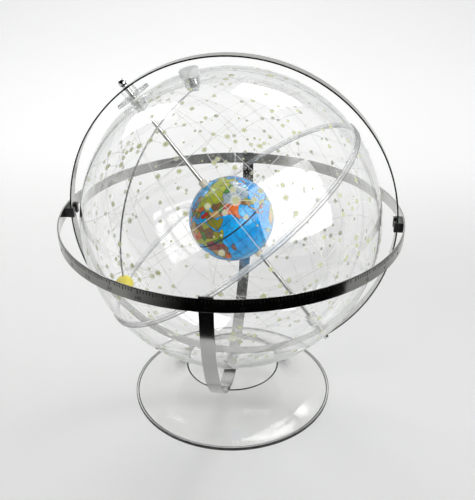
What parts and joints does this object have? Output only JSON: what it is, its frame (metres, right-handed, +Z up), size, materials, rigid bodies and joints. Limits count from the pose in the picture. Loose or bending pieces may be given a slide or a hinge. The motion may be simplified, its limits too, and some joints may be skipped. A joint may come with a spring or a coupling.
{
  "type": "celestial globe",
  "caption": "Transparent star sphere with an Earth on its polar axle and a Sun arm inside, turning in a steel meridian hoop set in a horizon band, cradle and clear flared base.",
  "frame": {"origin": "centre of the base's underside, on the plane it stands on", "axes": "+Z up, +X along the meridian hoop's plane away from the raised celestial pole, +Y along the cradle's plane towards the back"},
  "size_m": [0.348, 0.348, 0.379],
  "materials": {
    "clear_base": "clear moulded plastic with a faint grey tint",
    "clear_sphere": "clear moulded plastic, printed with stars",
    "clear_fittings": "clear turned plastic with polished edges",
    "nylon_bush": "natural nylon",
    "polished_steel": "polished stainless steel with fine rolling lines",
    "bright_chrome": "chromed metal",
    "zinc_fasteners": "plated steel",
    "black_plastic": "black moulded plastic",
    "felt": "black felt",
    "printed_earth": "glossy printed globe, blue oceans and coloured countries",
    "brass_collar": "turned brass",
    "translucent_white": "milky translucent plastic",
    "yellow_sun": "glossy yellow"
  },
  "bodies": {
    "stand": {"base_shell": "clear_base", "base_screw": "zinc_fasteners", "base_washer": "zinc_fasteners", "base_nut": "zinc_fasteners", "cradle_band": "polished_steel", "horizon_ring": "polished_steel", "left_guide": "black_plastic", "right_guide": "black_plastic", "left_friction_pad": "felt", "right_friction_pad": "felt", "guide_rivets": "zinc_fasteners"},
    "meridian": {"meridian_ring": "polished_steel", "north_spacer": "clear_fittings", "south_spacer": "clear_fittings"},
    "hour_dial": {"hour_dial": "clear_fittings"},
    "celestial_sphere": {"north_hemisphere": "clear_sphere", "south_hemisphere": "clear_sphere", "equator_band": "clear_fittings", "ecliptic_bush": "nylon_bush", "north_bush": "nylon_bush", "south_bush": "nylon_bush", "north_sleeve": "clear_fittings", "south_sleeve": "clear_fittings"},
    "earth": {"polar_axle": "polished_steel", "axle_knob": "bright_chrome", "axle_cap": "bright_chrome", "north_washer": "nylon_bush", "south_washer": "nylon_bush", "earth_north_half": "printed_earth", "earth_south_half": "printed_earth", "north_earth_collar": "brass_collar", "south_earth_collar": "brass_collar", "collar_screws": "zinc_fasteners"},
    "sun_arm": {"ecliptic_knob": "translucent_white", "ecliptic_spindle": "bright_chrome", "ecliptic_hub": "bright_chrome", "sun_arm_wire": "polished_steel", "sun_ball": "yellow_sun"}
  },
  "joints": [
    {"name": "latitude_tilt", "type": "hinge", "parent": "stand", "child": "meridian", "pos_m": [0, 0, 0.2113], "axis": [0, 1, 0], "range_deg": [-47, 31]},
    {"name": "celestial_spin", "type": "hinge", "parent": "meridian", "child": "celestial_sphere", "pos_m": [0, 0, 0.2113], "axis": [-0.6018, 0, 0.7986], "continuous": true},
    {"name": "earth_spin", "type": "hinge", "parent": "meridian", "child": "earth", "pos_m": [0, 0, 0.2113], "axis": [-0.6018, 0, 0.7986], "continuous": true},
    {"name": "hour_dial_turn", "type": "hinge", "parent": "meridian", "child": "hour_dial", "pos_m": [-0.09418, 0, 0.33629], "axis": [-0.6018, 0, 0.7986], "continuous": true},
    {"name": "sun_arm_turn", "type": "hinge", "parent": "celestial_sphere", "child": "sun_arm", "pos_m": [0, 0, 0.2113], "axis": [-0.2376, -0.0554, 0.9698], "range_deg": [-48.8, 302.2]}
  ]
}
